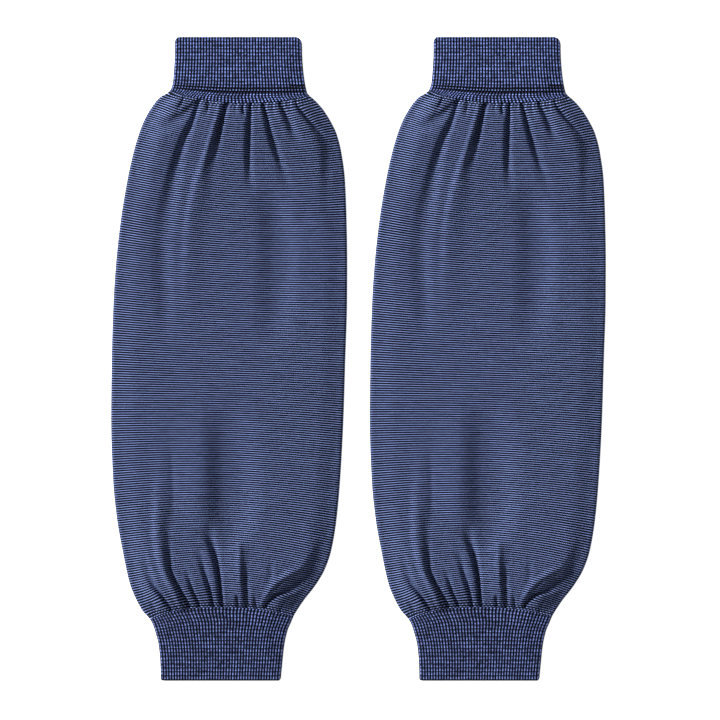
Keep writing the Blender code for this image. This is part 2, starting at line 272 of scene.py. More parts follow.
LOWER_FOLDS = {
    "faint line": (
        Stop(-36.9, -44.0, 0.0, 2.5, 2.5),
        Stop(-35.3, -72.0, -0.6, 2.5, 3.0),
        Stop(-35.0, -92.0, -0.5, 2.5, 3.0),
        Stop(-36.0, -106.0, 0.0, 2.5, 3.0),
    ),
    "left side trough": (
        Stop(-53.6, -114.0, 0.0, 4.0, 3.0),
        Stop(-50.3, -131.4, -2.2, 5.0, 3.3),
        Stop(-46.4, -142.0, -3.8, 3.6, 2.9),
        Stop(-41.0, -149.4, -4.4, 2.5, 2.3),
        Stop(-36.0, -156.5, -2.4, 1.6, 1.6),
    ),
    "left corner wrinkle": (
        Stop(-49.5, -149.0, 0.0, 2.0, 1.8),
        Stop(-47.2, -154.0, -3.6, 2.2, 2.0),
        Stop(-45.0, -159.5, -2.6, 1.8, 1.6),
    ),
    "left ridge": (
        Stop(-41.5, -52.0, 0.0, 6.0, 6.0),
        Stop(-43.7, -87.9, 1.6, 5.2, 9.0),
        Stop(-44.2, -106.5, 2.6, 4.8, 8.0),
        Stop(-41.8, -125.2, 3.0, 4.4, 5.0),
        Stop(-36.6, -140.7, 2.3, 3.8, 2.6),
        Stop(-31.9, -150.0, 1.5, 2.8, 1.8),
        Stop(-28.9, -157.0, 0.5, 2.0, 1.5),
    ),
    "left trough": (
        Stop(-38.1, -99.0, 0.0, 3.0, 4.0),
        Stop(-37.3, -117.7, -0.7, 2.6, 3.3),
        Stop(-37.4, -128.9, -2.2, 2.6, 3.0),
        Stop(-34.7, -137.6, -3.8, 2.7, 3.0),
        Stop(-29.8, -146.3, -4.2, 2.3, 2.3),
        Stop(-24.9, -154.5, -3.2, 1.7, 1.7),
    ),
    "second trough": (
        Stop(-26.3, -128.0, 0.0, 2.0, 2.0),
        Stop(-24.9, -137.6, -1.6, 2.0, 2.0),
        Stop(-22.7, -145.1, -3.2, 2.0, 2.0),
        Stop(-18.6, -154.0, -2.8, 1.5, 1.5),
    ),
    "third trough": (
        Stop(-19.6, -116.0, 0.0, 3.0, 2.5),
        Stop(-17.4, -122.7, -1.0, 3.4, 2.6),
        Stop(-14.6, -134.5, -2.8, 3.6, 2.3),
        Stop(-12.1, -143.8, -3.6, 3.0, 2.0),
        Stop(-9.9, -154.0, -2.8, 1.8, 1.5),
    ),
    "broad hollow": (
        Stop(-2.0, -18.0, 0.0, 17.0, 17.0),
        Stop(0.0, -44.3, -2.5, 19.0, 20.0),
        Stop(1.8, -69.2, -3.7, 21.0, 22.0),
        Stop(2.4, -91.0, -3.9, 21.0, 21.0),
        Stop(2.0, -106.5, -3.0, 18.0, 17.0),
        Stop(1.0, -122.0, 0.0, 13.0, 12.0),
    ),
    "soft ridge beside it": (
        Stop(-18.0, -26.0, 0.0, 20.0, 14.0),
        Stop(-17.5, -55.0, 1.5, 20.0, 14.0),
        Stop(-17.5, -90.0, 2.0, 18.0, 14.0),
        Stop(-18.0, -112.0, 0.0, 15.0, 12.0),
    ),
    "deep trough": (
        Stop(-12.6, -98.0, 0.0, 6.0, 5.0),
        Stop(-12.2, -106.0, -1.0, 5.8, 5.0),
        Stop(-11.3, -112.7, -2.6, 4.8, 4.2),
        Stop(-8.6, -122.0, -5.3, 3.7, 3.0),
        Stop(-6.4, -134.5, -6.2, 2.8, 2.4),
        Stop(-4.8, -149.0, -5.4, 2.1, 1.8),
        Stop(-4.0, -156.5, -3.2, 1.6, 1.4),
    ),
    "middle ridge": (
        Stop(6.3, -104.0, 0.0, 10.0, 3.0),
        Stop(6.4, -117.0, 1.0, 9.0, 8.0),
        Stop(6.8, -132.0, 1.3, 10.0, 4.0),
        Stop(7.8, -154.0, 0.9, 9.0, 2.0),
    ),
    "bright edge on it": (
        Stop(6.4, -111.0, 0.0, 2.2, 2.6),
        Stop(6.4, -119.0, 1.3, 2.2, 3.2),
        Stop(6.6, -130.0, 1.3, 2.2, 2.6),
        Stop(6.9, -142.0, 0.0, 1.8, 1.8),
    ),
    "wrinkle on its right": (
        Stop(5.0, -144.5, 0.0, 1.2, 1.2),
        Stop(5.1, -149.5, -2.4, 1.3, 1.3),
        Stop(5.4, -155.5, -1.6, 1.2, 1.2),
    ),
    "middle trough": (
        Stop(8.6, -126.0, 0.0, 1.3, 4.0),
        Stop(8.7, -131.0, -1.0, 1.3, 4.6),
        Stop(8.9, -136.5, -2.2, 1.3, 4.8),
        Stop(9.5, -143.8, -2.7, 1.3, 4.4),
        Stop(10.5, -154.5, -2.1, 1.3, 2.6),
    ),
    "soft dent": (
        Stop(26.0, -121.0, 0.0, 3.0, 3.0),
        Stop(26.0, -133.0, -1.1, 3.2, 3.0),
        Stop(24.5, -142.0, 0.0, 3.0, 3.0),
    ),
    "wrinkle by the slanting ridge": (
        Stop(16.0, -145.0, 0.0, 1.4, 1.4),
        Stop(16.2, -150.0, -1.4, 1.5, 1.5),
        Stop(16.8, -156.0, -1.2, 1.3, 1.3),
    ),
    "slanting ridge": (
        Stop(47.5, -126.5, 0.0, 3.0, 3.0),
        Stop(38.4, -132.4, 1.3, 3.0, 2.6),
        Stop(29.2, -139.0, 1.7, 2.8, 2.2),
        Stop(24.2, -145.0, 1.6, 2.2, 1.8),
        Stop(20.5, -153.0, 0.8, 1.8, 1.5),
    ),
    "slanting trough": (
        Stop(58.5, -111.0, 0.0, 4.0, 4.0),
        Stop(57.8, -117.0, -1.3, 6.0, 5.0),
        Stop(53.4, -128.9, -3.0, 8.0, 6.5),
        Stop(43.8, -138.5, -4.5, 6.6, 6.5),
        Stop(35.0, -144.8, -4.6, 4.0, 4.6),
        Stop(27.6, -148.4, -4.8, 2.1, 2.6),
        Stop(22.4, -154.5, -3.0, 1.5, 1.6),
    ),
    "right corner wrinkle": (
        Stop(36.2, -147.0, 0.0, 1.7, 1.7),
        Stop(33.8, -151.5, -1.2, 1.7, 1.7),
        Stop(31.5, -158.0, -1.4, 1.5, 1.5),
    ),
}
FOLD_PULL = 0.12       # how far a ridge pulls the courses towards its cuff, for each unit of height
FOLD_SLIP = 0.65       # how far the courses slip from one side of a trough to the other, for its depth
DRAW_START = 15.0      # pull and slip set in over this distance from a seam
DRAW_REACH = 20.0      # and die away over this one
SLIP_POWER = 1.2       # how late the courses climb on the ridges, towards the side fold
UNDER_SHARE = -0.2     # how the same folds, turned over, show on the underside

# The flattened tube: half its thickness, and how the front panel stands up
HALF_THICKNESS = 2.0
CROWN = 1.7            # how far it stands up all over the body, and at a cuff's seam
PUFF = 4.3             # how much further the body stands up near a seam
PUFF_REACH = 15.0      # the distance from the seam at which it is highest
SIDE_BLEND = 14.0      # the distance from a side fold to the full height
PANEL_CLEARANCE = 0.2  # what the deepest trough leaves between the panels
FLOOR_SOFTNESS = 0.5   # how gently a trough comes to rest on the lower panel

# The courses and wales of the body, and its grid
BODY_COURSES = 228
ROWS_PER_COURSE = 3
BODY_WALES = 112
BODY_COLUMNS = (104, 5, 22)     # front, each side fold, underside
BODY_INNER_STEPS = (9, 60)      # rows of the outer face to each row of the inner one: near a seam, between
BODY_INNER_NEAR = 100           # rows of the outer face that count as near a seam

# The ribs and stitches of the cuffs, and their grid
RIBS = 42
SIDE_RIBS = 3
COLUMNS_PER_RIB = (6, 6, 3)     # front, side fold, underside
ROWS_PER_STITCH = 4
CUFF_INNER_STEP = 12
RIM_ROLL = 0.75
SEAM_ROLL = 0.1
SEAM_GAP = -0.1        # the ends of body and cuff overlap a little
ROLL_STEPS = 3

# The black courses on the upper cuff: stitches from the rim, and the ribs between which each shows
BlackCourse = namedtuple("BlackCourse", "stitch first_rib last_rib")
BLACK_COURSES = (
    BlackCourse(26.4, 38.0, 45.0),
    BlackCourse(27.9, -50.0, 45.0),
    BlackCourse(29.8, -50.0, 45.0),
)

BLACK_COURSE_WIDTH = 1.3     # in stitches
DOTTED_FROM = 27.9           # from this stitch on, the upper cuff's ribs are dotted
FIRST_DOT = 28.85            # the middle of the first row of dots, between the black courses
DOT_COUNT = 0.77             # rows of dots to each stitch
RIBBED_COURSES = (1.0, 4.0)  # the cuff's ribs fade out of the body over these courses

# The ribs and rows of a cuff
RIB_ROUNDNESS = 0.7          # under 1, the ribs are broad and the grooves between them narrow
RIB_SWELL = 0.28             # the share of a rib's height that swells with each stitch
CORNER_FADE = 8              # how soon the rows leave the shape of the corners

# How light the yarn is made: a factor for the form it lies on, and what is added after it. On the legs of
# the body's loops and on each stitch of a cuff's rib this is painted shade of their relief.
LOOP_LIGHT = (0.2, 0.9)      # the legs of the body's loops, as painted shade of their relief
SEAM_RIB_LIGHT = (1.5, 0.25) # the ribs that run into the body at its seams
PAIR_LIGHT = (1.2, 0.12)     # every second stitch of a cuff's rib
DOT_LIGHT = (2.0, 0.05)      # the rows of dots on the upper cuff
BEAD_LIGHT = 0.4             # each stitch of a cuff's rib, as painted shade of its relief: the factor alone
NAP_ROUGHNESS = (0.2, 0.78)  # the same pair for the roughness of the nap
DRIFT_ALONG = 0.13           # how fast the yarn's shade drifts from wale to wale
DRIFT_STEP = 3.7             # how far it jumps from one course to the next

# The fine relief. The legs of a loop are measured in wales.
LEG_LEAN = 0.35              # how far a leg leans, for each course
LEG_OFFSET = 0.3             # how far apart from the wale's middle it is halfway up
LEG_EDGES = (0.24, 0.02)     # from its middle, where its side starts to rise and where it is at its top
RIDGE_SHARE = 0.6            # the ridge of a course beside its loops
NAP_SHARE = 0.25             # the nap beside them
NAP_FINENESS = 2600.0        # tufts to the metre, about
BODY_BUMP = 0.0001           # how deep the relief is, in metres
CUFF_BUMP = 0.00014

# The sockets of a colour mix
MIX_SHARE = 0
MIX_LOW = 6
MIX_HIGH = 7
MIX_RESULT = 2

# The camera looks straight down. PHOTO_MIDDLE is where the middle of the picture falls.
VIEW_WIDTH = 0.4478
CAMERA_HEIGHT = 3.0
SENSOR_WIDTH = 36.0
PHOTO_MIDDLE = (0.00096, -0.00078)
CLIP_END = 20.0
FLOOR_HALF_WIDTH = 4.0

# Where the key light comes from
KEY_FROM = (-0.85, 0.45, 0.5)

Ring = namedtuple("Ring", "across tilt wale")
Face = namedtuple("Face", "x y z")


class Curve:
    """A smooth curve through one column of a table, as a function of the height y."""

    def __init__(self, rows, column):
        self.heights = np.array([row.y for row in rows])[::-1]
        self.values = np.array([getattr(row, column) for row in rows])[::-1]
        steps = np.diff(self.values) / np.diff(self.heights)
        self.slopes = np.zeros(len(rows))
        before, after = steps[:-1], steps[1:]
        total = np.where(before * after > 0, before + after, 1.0)
        self.slopes[1:-1] = np.where(before * after > 0, 2 * before * after / total, 0.0)

    def at(self, y):
        """The curve's value and slope at y."""
        y = np.clip(y, self.heights[0], self.heights[-1])
        index = np.clip(np.searchsorted(self.heights, y) - 1, 0, len(self.heights) - 2)
        reach = self.heights[index + 1] - self.heights[index]
        part = (y - self.heights[index]) / reach
        start, end = self.values[index], self.values[index + 1]
        start_slope, end_slope = self.slopes[index] * reach, self.slopes[index + 1] * reach
        cubed = 2 * (start - end) + start_slope + end_slope
        squared = 3 * (end - start) - 2 * start_slope - end_slope
        value = start + part * (start_slope + part * (squared + part * cubed))
        slope = (start_slope + part * (2 * squared + part * 3 * cubed)) / reach
        return value, slope

    def __call__(self, y):
        return self.at(y)[0]


LEFT_EDGE = Curve(SECTIONS, "left")
RIGHT_EDGE = Curve(SECTIONS, "right")
TILT = Curve(COURSES, "tilt")
LEFT_RISE = Curve(COURSES, "left_rise")
RIGHT_RISE = Curve(COURSES, "right_rise")
LEFT_POWER = Curve(COURSES, "left_power")
RIGHT_POWER = Curve(COURSES, "right_power")


def ease(part):
    """0 up to a part of 0, 1 from a part of 1, and smooth between them."""
    part = np.clip(part, 0.0, 1.0)
    return part * part * (3 - 2 * part)


def course_y(middle, across):
    """The height of a course of the body at places across the sleeve, from -1 to 1."""
    left = LEFT_RISE(middle) * np.clip(-across, 0, 1) ** LEFT_POWER(middle)
    right = RIGHT_RISE(middle) * np.clip(across, 0, 1) ** RIGHT_POWER(middle)
    return middle - TILT(middle) * across + left + right


def outline_x(y, across):
    """The place across the sleeve, in millimetres, at a height and a share of the half width."""
    left, right = LEFT_EDGE(y), RIGHT_EDGE(y)
    return (left + right) / 2 + across * (right - left) / 2


def fold_lift(folds, x, y):
    """How far the folds lift or lower the cloth at the points x, y."""
    lift = np.zeros_like(x)
    for stops in folds.values():
        height, aside, width = fold_at(stops, x, y)
        lift += height * (0.5 + 0.5 * np.cos(math.pi * np.clip(aside / width, -1, 1)))
    return lift


def fold_at(stops, x, y):
    """One fold at the points x, y: its height, how far to its right they lie, and its half width there."""
    line_x, lean = Curve(stops, "x").at(y)
    aside = (x - line_x) / np.hypot(1, lean)
    width = np.where(aside < 0, Curve(stops, "left")(y), Curve(stops, "right")(y))
    inside = (y < stops[0].y) & (y > stops[-1].y)
    return np.where(inside, Curve(stops, "height")(y), 0.0), aside, width


def fold_slip(folds, x, y, across, distance):
    """How far the courses run away from the cuff outside each trough.

    On the trough's own half of the sleeve they climb steadily on the ridges, and drop back inside the
    trough, where the cloth is tucked away."""
    slip = np.zeros_like(x)
    for stops in folds.values():
        height, aside, width = fold_at(stops, x, y)
        side = math.copysign(1, stops[0].x)
        outside = ease(0.5 + side * aside / width)
        climb = np.clip(side * across, 0, 1) ** SLIP_POWER
        slip += np.maximum(-height, 0.0) * (outside - climb)
    return FOLD_SLIP * slip * drawn_at(distance)


def drawn_at(distance):
    """How strongly the folds draw the courses at a distance from a seam."""
    return ease(distance / DRAW_START) * np.exp(-np.maximum(distance, 0.0) / DRAW_REACH)


def puff_at(distance):
    """How far the cloth stands up at a distance from a seam: most at PUFF_REACH."""
    part = np.maximum(distance, 0.0) / PUFF_REACH
    return PUFF * part * np.exp(1 - part)


def side_fade(x, y):
    """0 at the side folds of the flattened tube, and 1 from SIDE_BLEND inside them."""
    left, left_slope = LEFT_EDGE.at(y)
    right, right_slope = RIGHT_EDGE.at(y)
    from_left = x - left - HALF_THICKNESS * np.hypot(1, left_slope)
    from_right = right - x - HALF_THICKNESS * np.hypot(1, right_slope)
    return ease(np.minimum(from_left, from_right) / SIDE_BLEND)


def soft_floor(value, floor):
    """value, held smoothly above floor."""
    over = (value - floor) / FLOOR_SOFTNESS
    return floor + FLOOR_SOFTNESS * np.logaddexp(0.0, over)


def ring_round(columns, front_wales, side_wales):
    """The columns round a flattened tube: over the front, round the right fold, under and back up.

    across runs from -1 to 1 between the side folds. tilt is 1 on the front, -1 on the underside and
    between them round a side fold. wale counts the wales from the front's left edge."""
    front, side, under = columns
    turn = np.arange(1, side) / side
    across = [np.linspace(-1, 1, front + 1), np.ones(side - 1)]
    across += [np.linspace(1, -1, under + 1), -np.ones(side - 1)]
    tilt = [np.ones(front + 1), np.cos(math.pi * turn), -np.ones(under + 1), -np.cos(math.pi * turn)]
    marks = np.cumsum([0, front, side, under, side])
    wales = np.cumsum([0, front_wales, side_wales, front_wales, side_wales])
    wale = np.interp(np.arange(marks[-1] + 1), marks, wales)
    return Ring(np.concatenate(across), np.concatenate(tilt), wale)


def lay_out(line, parts, ring, inset):
    """Where one face of a tube's wall runs, from above: its places across, its x and its y.

    line gives the height at a part of the tube's length and a place across. inset is 0 for the outer
    face and the wall's thickness for the inner one."""
    radius = HALF_THICKNESS - inset
    parts = parts[:, None]
    shares = []
    for side in (-1, 1):
        y = line(parts, np.full_like(parts, side))
        _, slope = (LEFT_EDGE if side < 0 else RIGHT_EDGE).at(y)
        half_width = (RIGHT_EDGE(y) - LEFT_EDGE(y)) / 2
        shares.append(np.hypot(1, slope) / half_width)
    left, right = (share * (inset + radius) for share in shares)
    across = ring.across * (1 - (left + right) / 2) + (left - right) / 2
    round_fold = radius * np.sqrt(1 - ring.tilt**2)
    across = across - np.where(ring.across < 0, shares[0], 0) * round_fold
    across = across + np.where(ring.across > 0, shares[1], 0) * round_fold
    y = line(parts, across)
    return across, outline_x(y, across), y


def body_line(part, across):
    top = UPPER_SEAM.y - SEAM_GAP / 2 - SEAM_ROLL
    bottom = LOWER_SEAM.y + SEAM_GAP / 2 + SEAM_ROLL
    return course_y(top + (bottom - top) * part, across)


def body_face(parts, ring, relief, settings):
    """The body's outer face, with its gathers and the ridge of each course."""
    across, x, y = lay_out(body_line, parts, ring, 0.0)
    front = ring.tilt == 1
    under = ring.tilt == -1
    fade = side_fade(x, y)
    folds = settings.fold_depth * (fold_lift(UPPER_FOLDS, x, y) + fold_lift(LOWER_FOLDS, x, y))
    turned = UNDER_SHARE * (fold_lift(UPPER_FOLDS, -x, y) + fold_lift(LOWER_FOLDS, -x, y))
    from_top = course_y(UPPER_SEAM.y, across) - y
    from_bottom = y - course_y(LOWER_SEAM.y, across)
    wall = settings.wall / MM
    lowest = 2 * wall + PANEL_CLEARANCE - 2 * HALF_THICKNESS
    rise = soft_floor(CROWN + puff_at(from_top) + puff_at(from_bottom) + folds, lowest)
    outward = relief - relief.max() * (1 - ring.tilt) / 2
    z = HALF_THICKNESS + (HALF_THICKNESS + outward) * ring.tilt
    z = z + np.where(front, fade * rise, 0.0) + np.where(under, fade * np.maximum(turned, 0.0), 0.0)
    towards = np.where(from_top < from_bottom, 1.0, -1.0)
    pull = FOLD_PULL * folds * towards * drawn_at(np.minimum(from_top, from_bottom))
    y = y + np.where(front, fade * pull, 0.0)
    slip = fold_slip(UPPER_FOLDS, x, y, across, from_top) - fold_slip(LOWER_FOLDS, x, y, across, from_bottom)
    y = y - np.where(front, fade * slip, 0.0)
    return Face(x, y, z)


def inner_rows(count, near_step, far_step, near):
    """The rows of the outer face that have a row of the inner face under them."""
    rows = list(range(0, near, near_step)) + list(range(near, count - near, far_step))
    return np.array(rows + list(range(count - near, count, near_step)) + [count - 1])


def body_inner(outer, rows, ring, settings):
    """The body's inner face: under each of its rows' stretch of the outer face, a wall's thickness in."""
    wall = settings.wall / MM
    parts = rows / (len(outer.z) - 1)
    _, x, y = lay_out(body_line, parts, ring, wall)
    before = np.append(rows[0], rows[:-1])
    after = np.append(rows[1:], rows[-1])
    low = [outer.z[first : last + 1].min(axis=0) for first, last in zip(before, after)]
    side_z = HALF_THICKNESS + (HALF_THICKNESS - wall) * ring.tilt
    z = np.where(ring.tilt == 1, np.array(low) - wall, np.broadcast_to(side_z, x.shape))
    return Face(x, y, z)


def cuff_line(cuff, roll):
    """The rows of a cuff: straight at the rim, with rounded corners, and bent like the seam at its end."""
    towards = math.copysign(1, cuff.seam.y - cuff.rim)
    start = cuff.rim + towards * roll
    end = cuff.seam.y - towards * (SEAM_GAP / 2 + SEAM_ROLL)
    half_width = (RIGHT_EDGE(cuff.rim) - LEFT_EDGE(cuff.rim)) / 2

    def line(part, across):
        from_edge = np.clip(1 - np.abs(across), 0, 1) * half_width
        corner = np.where(across < 0, cuff.left_corner, cuff.right_corner)
        into = np.clip(corner - from_edge, 0, corner)
        drop = towards * (corner - np.sqrt(corner**2 - into**2)) * (1 - part) ** CORNER_FADE
        left = cuff.seam.left_rise * np.clip(-across, 0, 1) ** cuff.seam.left_power * part**cuff.left_bend
        right = cuff.seam.right_rise * np.clip(across, 0, 1) ** cuff.seam.right_power * part**cuff.right_bend
        return start + (end - start) * part + drop + left + right

    return line


def cuff_face(line, parts, ring, relief):
    """A cuff's outer face, with its ribs and stitches."""
    _, x, y = lay_out(line, parts, ring, 0.0)
    outward = relief - relief.max() * (1 - ring.tilt) / 2
    z = HALF_THICKNESS + (HALF_THICKNESS + outward) * ring.tilt
    z = z + np.where(ring.tilt == 1, side_fade(x, y) * CROWN * ease(parts)[:, None], 0.0)
    return Face(x, y, z)


def cuff_inner(line, parts, ring, settings):
    """A cuff's plain inner face."""
    wall = settings.cuff_wall / MM
    _, x, y = lay_out(line, parts, ring, wall)
    z = HALF_THICKNESS + (HALF_THICKNESS - wall) * ring.tilt
    z = z + np.where(ring.tilt == 1, side_fade(x, y) * CROWN * ease(parts)[:, None], 0.0)
    return Face(x, y, z)


def rolled_end(last, following, roll, towards):
    """Rows that turn the cloth's edge over, from the last row of one face to the first of the other."""
    rows = []
    for step in range(1, ROLL_STEPS + 1):
        angle = math.pi * step / (ROLL_STEPS + 1)
        share = (1 - math.cos(angle)) / 2
        x = last.x + (following.x - last.x) * share
        y = last.y + (following.y - last.y) * share + towards * roll * math.sin(angle)
        z = last.z + (following.z - last.z) * share
        rows.append(Face(x, y, z))
    return rows


def row_of(face, index):
    return Face(face.x[index], face.y[index], face.z[index])


def wrap_cloth(name, outer, inner, rolls, ring, courses):
    """A closed wall of cloth from one grid: the outer face, one end, the inner face and the other end.

    rolls holds the size and direction of the turned edge at the start and at the end. courses counts
    the rows of knitting along the outer face."""
    (start_roll, start_towards), (end_roll, end_towards) = rolls
    back = Face(*(values[::-1] for values in inner))
    turned = rolled_end(row_of(outer, -1), row_of(back, 0), end_roll, end_towards)
    closing = rolled_end(row_of(back, -1), row_of(outer, 0), start_roll, start_towards)
    parts = [outer, *(Face(*(v[None] for v in row)) for row in turned), back]
    parts += [Face(*(v[None] for v in row)) for row in closing]
    joined = [np.concatenate([getattr(part, axis) for part in parts]) for axis in Face._fields]
    places = np.stack(joined, axis=-1)
    rows, columns = places.shape[:2]

    mesh = bmesh.new()
    mesh.loops.layers.uv.new("UVMap")
    bmesh.ops.create_grid(mesh, x_segments=columns, y_segments=rows, size=0.5, calc_uvs=True)
    for vert in mesh.verts:
        column = round((vert.co.x + 0.5) * columns) % columns
        row = round((vert.co.y + 0.5) * rows) % rows
        vert.co = places[row, column] * MM
    bmesh.ops.remove_doubles(mesh, verts=mesh.verts, dist=1e-7)
    bmesh.ops.recalc_face_normals(mesh, faces=mesh.faces)
    data = bpy.data.meshes.new(name)
    mesh.to_mesh(data)
    mesh.free()
    data.shade_smooth()
    count_stitches(data, ring, courses, len(outer.z) - 1, rows)
    return data


def count_stitches(data, ring, courses, outer_rows, rows):
    """Give the mesh a second map that counts wales across and courses along."""
    places = np.empty(len(data.loops) * 2, dtype=np.float32)
    data.uv_layers["UVMap"].uv.foreach_get("vector", places)
    places = places.reshape(-1, 2)
    columns = len(ring.wale) - 1
    wale = np.interp(places[:, 0] * columns, np.arange(columns + 1), ring.wale)
    course = places[:, 1] * rows * courses / outer_rows
    knit = data.uv_layers.new(name="knit")
    knit.uv.foreach_set("vector", np.stack([wale, course], axis=-1).astype(np.float32).ravel())
    data.uv_layers["UVMap"].active_render = True


def socket_value(tree, socket, value):
    """Link a socket to another one, or give it a plain value."""
    if isinstance(value, bpy.types.NodeSocket):
        tree.links.new(value, socket)
    else:
        socket.default_value = value


def add_node(tree, kind, inputs=(), **settings):
    """A node with its settings, and with its inputs linked or set by name or number."""
    node = tree.nodes.new(kind)
    for name, value in settings.items():
        setattr(node, name, value)
    for key, value in dict(inputs).items():
        socket_value(tree, node.inputs[key], value)
    return node


def calc(tree, operation, *values):
    """A math node's result."""
    return add_node(tree, "ShaderNodeMath", dict(enumerate(values)), operation=operation).outputs[0]


def smooth_step(tree, value, low, high):
    """0 below low, 1 above high, and smooth between them."""
    inputs = {"Value": value, "From Min": low, "From Max": high}
    node = add_node(tree, "ShaderNodeMapRange", inputs, interpolation_type="SMOOTHSTEP")
    return node.outputs["Result"]


def new_group(name, inputs, outputs):
    """A shader node group with named number inputs and outputs. Returns its tree and its two end nodes."""
    tree = bpy.data.node_groups.new(name, "ShaderNodeTree")
    for label, default in inputs.items():
        socket = tree.interface.new_socket(name=label, in_out="INPUT", socket_type="NodeSocketFloat")
        socket.default_value = default
    for label in outputs:
        tree.interface.new_socket(name=label, in_out="OUTPUT", socket_type="NodeSocketFloat")
    start = tree.nodes.new("NodeGroupInput").outputs
    end = tree.nodes.new("NodeGroupOutput").inputs
    return tree, start, end


def ridge_group():
    """A mask that is 1 on the ridge of each count and 0 in the groove between counts."""
    tree, start, end = new_group("knit_ridge", {"Count": 0.0, "Share": 0.5, "Edge": 0.2}, ["Ridge"])
    phase = calc(tree, "FRACT", start["Count"])
    from_middle = calc(tree, "ABSOLUTE", calc(tree, "SUBTRACT", phase, 0.5))
    into = calc(tree, "SUBTRACT", calc(tree, "MULTIPLY", start["Share"], 0.5), from_middle)
    edge = calc(tree, "MULTIPLY", start["Edge"], 0.5)
    tree.links.new(smooth_step(tree, into, calc(tree, "MULTIPLY", edge, -1.0), edge), end["Ridge"])


def yarn_group():
    """Uneven yarn: a shade that drifts along each course and a finer one from stitch to stitch."""
    inputs = {"Wale": 0.0, "Course": 0.0, "Amount": 0.15, "Grain": 0.5}
    tree, start, end = new_group("uneven_yarn", inputs, ["Shade"])
    row = calc(tree, "FLOOR", start["Course"])
    along = calc(tree, "MULTIPLY", start["Wale"], DRIFT_ALONG)
    jump = calc(tree, "MULTIPLY", row, DRIFT_STEP)
    drift_at = add_node(tree, "ShaderNodeCombineXYZ", {"X": along, "Y": jump})
    noise = {"Vector": drift_at.outputs[0], "Scale": 1.0, "Detail": 2.0}
    drift = add_node(tree, "ShaderNodeTexNoise", noise, noise_dimensions="2D")
    stitch_at = add_node(tree, "ShaderNodeCombineXYZ", {"X": calc(tree, "FLOOR", start["Wale"]), "Y": row})
    place = {"Vector": stitch_at.outputs[0]}
    stitch = add_node(tree, "ShaderNodeTexWhiteNoise", place, noise_dimensions="2D")
    slow = calc(tree, "SUBTRACT", drift.outputs["Fac"], 0.5)
    fast = calc(tree, "MULTIPLY", calc(tree, "SUBTRACT", stitch.outputs["Value"], 0.5), start["Grain"])
    amount = calc(tree, "MULTIPLY", start["Amount"], 2.0)
    shade = calc(tree, "MULTIPLY", calc(tree, "ADD", slow, fast), amount)
    tree.links.new(calc(tree, "ADD", shade, 1.0), end["Shade"])


def loop_group():
    """The relief of knitted loops: two legs that lean towards each other in every stitch."""
    tree, start, end = new_group("knit_loops", {"Wale": 0.0, "Course": 0.0}, ["Relief"])
    course = calc(tree, "FRACT", start["Course"])
    lean = calc(tree, "MULTIPLY", calc(tree, "ABSOLUTE", calc(tree, "SUBTRACT", course, 0.5)), LEG_LEAN)
    wale = calc(tree, "ABSOLUTE", calc(tree, "SUBTRACT", calc(tree, "FRACT", start["Wale"]), 0.5))
    leg = calc(tree, "ABSOLUTE", calc(tree, "SUBTRACT", calc(tree, "ADD", wale, lean), LEG_OFFSET))
    tree.links.new(smooth_step(tree, leg, *LEG_EDGES), end["Relief"])


def nap_group():
    """Fine fuzz of spun cotton, as a height and as a change of roughness."""
    tree, start, end = new_group("cotton_nap", {"Size": NAP_FINENESS}, ["Height", "Roughness"])
    place = add_node(tree, "ShaderNodeTexCoord").outputs["Object"]
    noise = {"Vector": place, "Scale": start["Size"], "Detail": 3.0}
    fuzz = add_node(tree, "ShaderNodeTexNoise", noise).outputs["Fac"]
    tree.links.new(fuzz, end["Height"])
    tree.links.new(calc(tree, "MULTIPLY_ADD", fuzz, *NAP_ROUGHNESS), end["Roughness"])


def shaded(tree, color, shade):
    """A colour made lighter or darker by a number."""
    node = add_node(tree, "ShaderNodeMix", data_type="RGBA", blend_type="MULTIPLY")
    node.inputs[MIX_SHARE].default_value = 1.0
    node.inputs[MIX_LOW].default_value = (*color, 1.0)
    tree.links.new(shade, node.inputs[MIX_HIGH])
    return node.outputs[MIX_RESULT]


def mixed(tree, share, low, high):
    """low where share is 0 and high where it is 1."""
    node = add_node(tree, "ShaderNodeMix", data_type="RGBA")
    for index, value in ((MIX_SHARE, share), (MIX_LOW, low), (MIX_HIGH, high)):
        socket_value(tree, node.inputs[index], value)
    return node.outputs[MIX_RESULT]


def knit_material(name, settings):
    """A cotton knit with its fixed values set, and its tree, its shader, its wales and its courses."""
    material = bpy.data.materials.new(name)
    material.use_nodes = True
    tree = material.node_tree
    shader = tree.nodes["Principled BSDF"]
    shader.inputs["Metallic"].default_value = 0.0
    shader.inputs["Specular IOR Level"].default_value = 0.12
    shader.inputs["Sheen Weight"].default_value = settings.sheen
    shader.inputs["Sheen Roughness"].default_value = 0.5
    shader.inputs["Sheen Tint"].default_value = (*settings.sheen_tint, 1.0)
    count = add_node(tree, "ShaderNodeUVMap", uv_map="knit").outputs["UV"]
    counted = add_node(tree, "ShaderNodeSeparateXYZ", {0: count})
    return material, tree, shader, counted.outputs["X"], counted.outputs["Y"]


def grouped(tree, group, **inputs):
    """A node group placed in a tree, with its inputs linked or set."""
    node = tree.nodes.new("ShaderNodeGroup")
    node.node_tree = bpy.data.node_groups[group]
    for name, value in inputs.items():
        socket_value(tree, node.inputs[name], value)
    return node.outputs


def finish_knit(tree, shader, color, relief, depth):
    """Join colour, relief and nap to the shader."""
    nap = grouped(tree, "cotton_nap")
    height = calc(tree, "MULTIPLY_ADD", nap["Height"], NAP_SHARE, relief)
    bump = add_node(tree, "ShaderNodeBump", {"Height": height, "Distance": depth, "Strength": 1.0})
    socket_value(tree, shader.inputs["Base Color"], color)
    socket_value(tree, shader.inputs["Roughness"], nap["Roughness"])
    socket_value(tree, shader.inputs["Normal"], bump.outputs["Normal"])


